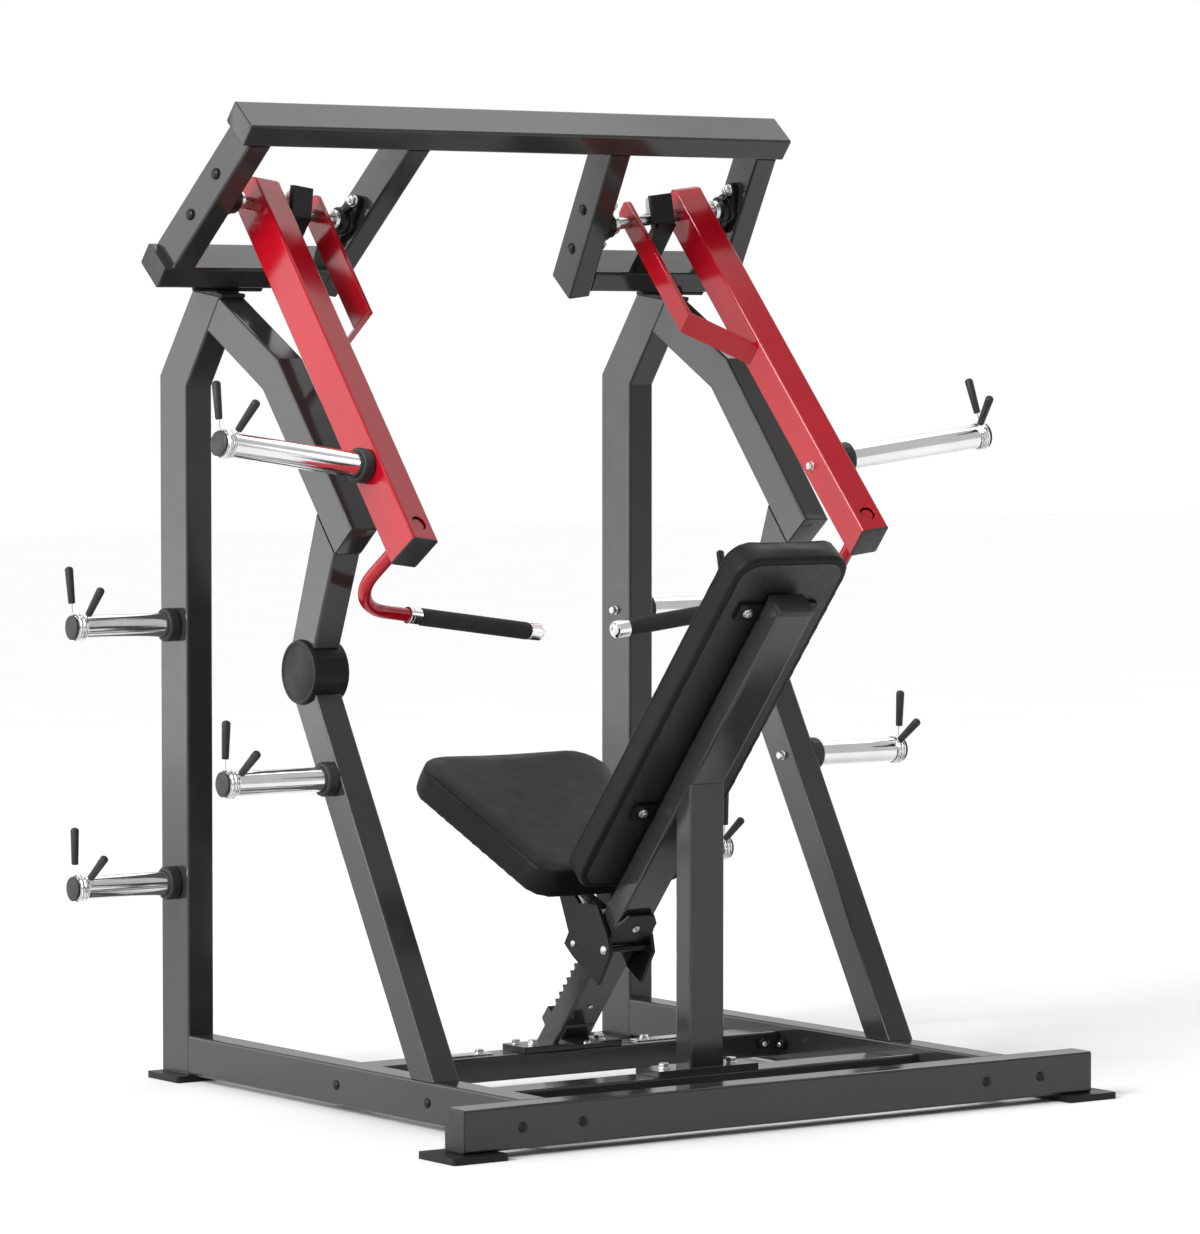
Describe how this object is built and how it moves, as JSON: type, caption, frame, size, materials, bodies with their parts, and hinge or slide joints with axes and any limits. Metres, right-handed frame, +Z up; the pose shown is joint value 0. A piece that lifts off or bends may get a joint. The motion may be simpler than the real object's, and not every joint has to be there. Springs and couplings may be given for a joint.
{
  "type": "plate-loaded chest press machine",
  "caption": "Plate-loaded incline chest press with converging swing arms, a reclined back pad and a sliding seat on a welded tube frame.",
  "frame": {"origin": "on the floor, at the middle of the machine's footprint box", "axes": "+Z up, +Y the way the seated user faces, +X to the user's right"},
  "size_m": [1.8452, 1.375, 1.941],
  "materials": {
    "frame_paint": "gloss dark grey",
    "black_paint": "satin black",
    "red_paint": "gloss red",
    "chrome": "polished",
    "steel": "turned",
    "vinyl": "matte black upholstery",
    "rubber": "matte"
  },
  "bodies": {
    "frame": {"rear_cross_beam": "frame_paint", "post_cross_beam": "frame_paint", "seat_cross_beam": "frame_paint", "top_beam": "frame_paint", "seat_post": "frame_paint", "seat_tube": "frame_paint", "back_pad": "vinyl", "pad_bracket_top": "black_paint", "pad_bracket_low": "black_paint", "right_side_rail": "frame_paint", "left_side_rail": "frame_paint", "right_rear_foot": "black_paint", "left_rear_foot": "black_paint", "right_front_foot": "black_paint", "left_front_foot": "black_paint", "right_upright": "frame_paint", "left_upright": "frame_paint", "right_leg_upper": "frame_paint", "left_leg_upper": "frame_paint", "right_leg_middle": "frame_paint", "left_leg_middle": "frame_paint", "right_leg_lower": "frame_paint", "left_leg_lower": "frame_paint", "right_pivot_disc": "black_paint", "left_pivot_disc": "black_paint", "right_apex_plate": "black_paint", "left_apex_plate": "black_paint", "right_outer_post": "frame_paint", "left_outer_post": "frame_paint", "right_inner_post": "frame_paint", "left_inner_post": "frame_paint", "right_lower_cross_tube": "frame_paint", "left_lower_cross_tube": "frame_paint", "right_inner_bearing": "black_paint", "left_inner_bearing": "black_paint", "right_outer_bearing": "black_paint", "left_outer_bearing": "black_paint", "right_stop_post": "black_paint", "left_stop_post": "black_paint", "right_upright_horn_high": "frame_paint", "left_upright_horn_high": "frame_paint", "right_upright_horn_low": "frame_paint", "left_upright_horn_low": "frame_paint", "right_leg_horn": "chrome", "left_leg_horn": "chrome"},
    "right_arm": {"right_arm_tube": "red_paint", "right_arm_brace": "red_paint", "right_handle_bar": "red_paint", "right_grip": "rubber", "right_arm_horn": "chrome", "right_shaft": "steel"},
    "left_arm": {"left_arm_tube": "red_paint", "left_arm_brace": "red_paint", "left_handle_bar": "red_paint", "left_grip": "rubber", "left_arm_horn": "chrome", "left_shaft": "steel"},
    "seat": {"seat_pad": "vinyl", "seat_carriage": "black_paint"},
    "latch": {"seat_latch": "steel"}
  },
  "joints": [
    {"name": "right_arm_hinge", "type": "hinge", "parent": "frame", "child": "right_arm", "pos_m": [0.45406, 0.38467, 1.73632], "axis": [-0.9848, 0.1122, -0.1326], "range_deg": [0, 30]},
    {"name": "left_arm_hinge", "type": "hinge", "parent": "frame", "child": "left_arm", "pos_m": [-0.45406, 0.38467, 1.73632], "axis": [-0.9848, -0.1122, 0.1326], "range_deg": [0, 30]},
    {"name": "seat_slide", "type": "slide", "parent": "frame", "child": "seat", "axis": [0, -0.6428, 0.766], "range_m": [-0.14, 0]},
    {"name": "latch_hinge", "type": "hinge", "parent": "seat", "child": "latch", "pos_m": [0, -0.04691, 0.35645], "axis": [1, 0, 0], "range_deg": [-14, 0]}
  ]
}
